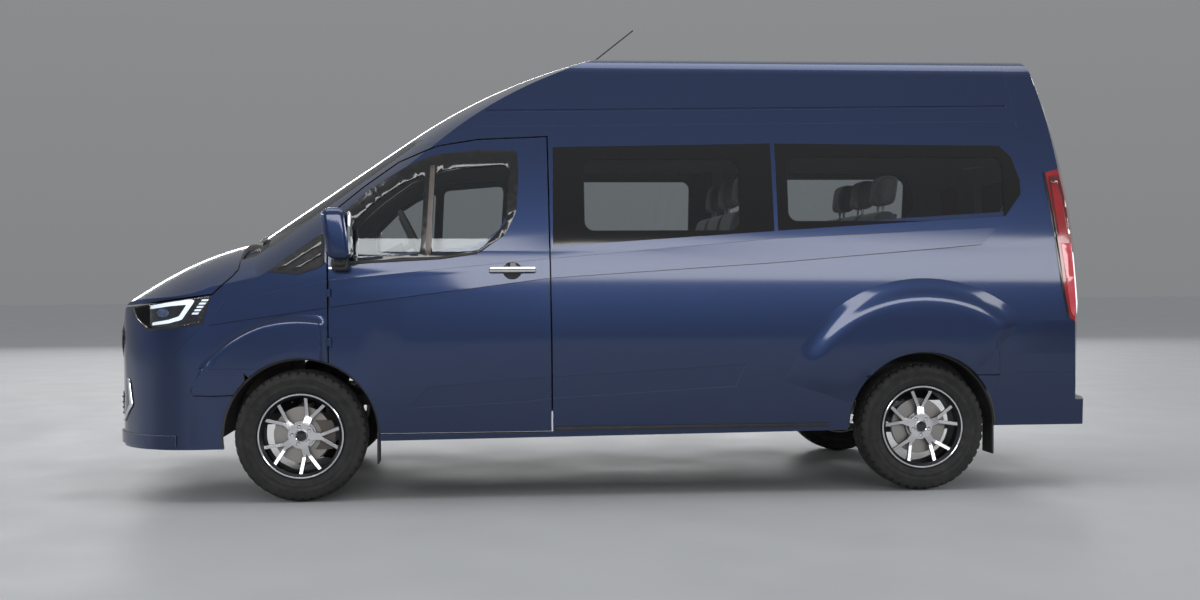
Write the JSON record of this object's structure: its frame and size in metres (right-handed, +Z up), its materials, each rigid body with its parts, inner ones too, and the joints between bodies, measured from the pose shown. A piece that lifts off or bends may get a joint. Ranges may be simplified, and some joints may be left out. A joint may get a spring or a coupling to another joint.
{
  "type": "panel van",
  "caption": "High-roof van with side glazing, hinged front doors, bonnet and tailgate, steered front wheels and bench seats.",
  "frame": {"origin": "on the ground under the middle of the van's length and width", "axes": "+Z up, front of the van towards -X, left side towards -Y"},
  "size_m": [5.3474, 2.392, 2.6281],
  "materials": {
    "body_paint": "gloss",
    "dark_plastic": "matte",
    "grille_metal": "polished",
    "lamp_clear": "gloss",
    "lamp_red": "gloss",
    "glass": "clear",
    "tyre": "matte",
    "alloy": "machined",
    "steel": "satin",
    "iron": "rough",
    "trim": "matte",
    "seat_cloth": "woven",
    "under": "satin"
  },
  "bodies": {
    "body": {"floor_pan": "under", "front_structure": "under", "side_left": "body_paint", "side_right": "body_paint", "sliding_door": "body_paint", "sliding_door_glass": "glass", "roof": "body_paint", "rear_header": "body_paint", "front_bumper": "body_paint", "grille": "grille_metal", "cowl": "dark_plastic", "wings": "body_paint", "headlamps": "lamp_clear", "windscreen": "glass", "front_wipers": "dark_plastic", "side_glass_left": "glass", "side_glass_right": "glass", "rear_bumper": "body_paint", "tail_lamps": "lamp_red", "aerial": "dark_plastic", "dashboard": "trim", "front_seats": "seat_cloth", "rear_seats": "seat_cloth", "engine": "iron", "fuel_tank": "under", "exhaust": "steel", "front_suspension": "iron", "rear_axle": "iron", "leaf_springs": "steel"},
    "bonnet": {"bonnet": "body_paint"},
    "door_left": {"door_left": "body_paint", "door_glass_left": "glass", "mirror_left": "body_paint"},
    "door_right": {"door_right": "body_paint", "door_glass_right": "glass", "mirror_right": "body_paint"},
    "tailgate": {"tailgate": "body_paint", "tailgate_glass": "glass", "rear_wiper": "dark_plastic"},
    "steering_wheel": {"steering_wheel": "trim"},
    "knuckle_left": {"knuckle_left": "iron"},
    "knuckle_right": {"knuckle_right": "iron"},
    "wheel_front_left": {"tyre_front_left": "tyre", "rim_front_left": "alloy"},
    "wheel_front_right": {"tyre_front_right": "tyre", "rim_front_right": "alloy"},
    "wheel_rear_left": {"tyre_rear_left": "tyre", "rim_rear_left": "alloy"},
    "wheel_rear_right": {"tyre_rear_right": "tyre", "rim_rear_right": "alloy"}
  },
  "joints": [
    {"name": "door_left_swing", "type": "hinge", "parent": "body", "child": "door_left", "pos_m": [-1.504, -0.976, 0.96], "axis": [0, 0, -1], "range_deg": [0, 65]},
    {"name": "door_right_swing", "type": "hinge", "parent": "body", "child": "door_right", "pos_m": [-1.504, 0.976, 0.96], "axis": [0, 0, 1], "range_deg": [0, 65]},
    {"name": "bonnet_lift", "type": "hinge", "parent": "body", "child": "bonnet", "pos_m": [-1.85, 0, 1.29], "axis": [0, 1, 0], "range_deg": [0, 40]},
    {"name": "tailgate_lift", "type": "hinge", "parent": "body", "child": "tailgate", "pos_m": [2.54, 0, 1.842], "axis": [0, -1, 0], "range_deg": [0, 85]},
    {"name": "steer_left", "type": "hinge", "parent": "body", "child": "knuckle_left", "pos_m": [-1.6605, -0.828, 0.343], "axis": [0, 0, 1], "range_deg": [-35, 35]},
    {"name": "steer_right", "type": "hinge", "parent": "body", "child": "knuckle_right", "pos_m": [-1.6605, 0.828, 0.343], "axis": [0, 0, 1], "range_deg": [-35, 35]},
    {"name": "steering_turn", "type": "hinge", "parent": "body", "child": "steering_wheel", "pos_m": [-1.083, -0.4, 1.358], "axis": [0.8934, 0, 0.4493], "range_deg": [-525, 525]},
    {"name": "wheel_front_left_spin", "type": "hinge", "parent": "knuckle_left", "child": "wheel_front_left", "pos_m": [-1.6605, -0.868, 0.343], "axis": [0, 1, 0], "continuous": true},
    {"name": "wheel_front_right_spin", "type": "hinge", "parent": "knuckle_right", "child": "wheel_front_right", "pos_m": [-1.6605, 0.868, 0.343], "axis": [0, 1, 0], "continuous": true},
    {"name": "wheel_rear_left_spin", "type": "hinge", "parent": "body", "child": "wheel_rear_left", "pos_m": [1.6395, -0.868, 0.343], "axis": [0, 1, 0], "continuous": true},
    {"name": "wheel_rear_right_spin", "type": "hinge", "parent": "body", "child": "wheel_rear_right", "pos_m": [1.6395, 0.868, 0.343], "axis": [0, 1, 0], "continuous": true}
  ],
  "couplings": [
    {"joint": "steer_right", "follows": "steer_left", "ratio": 1},
    {"joint": "steering_turn", "follows": "steer_left", "ratio": 15}
  ]
}
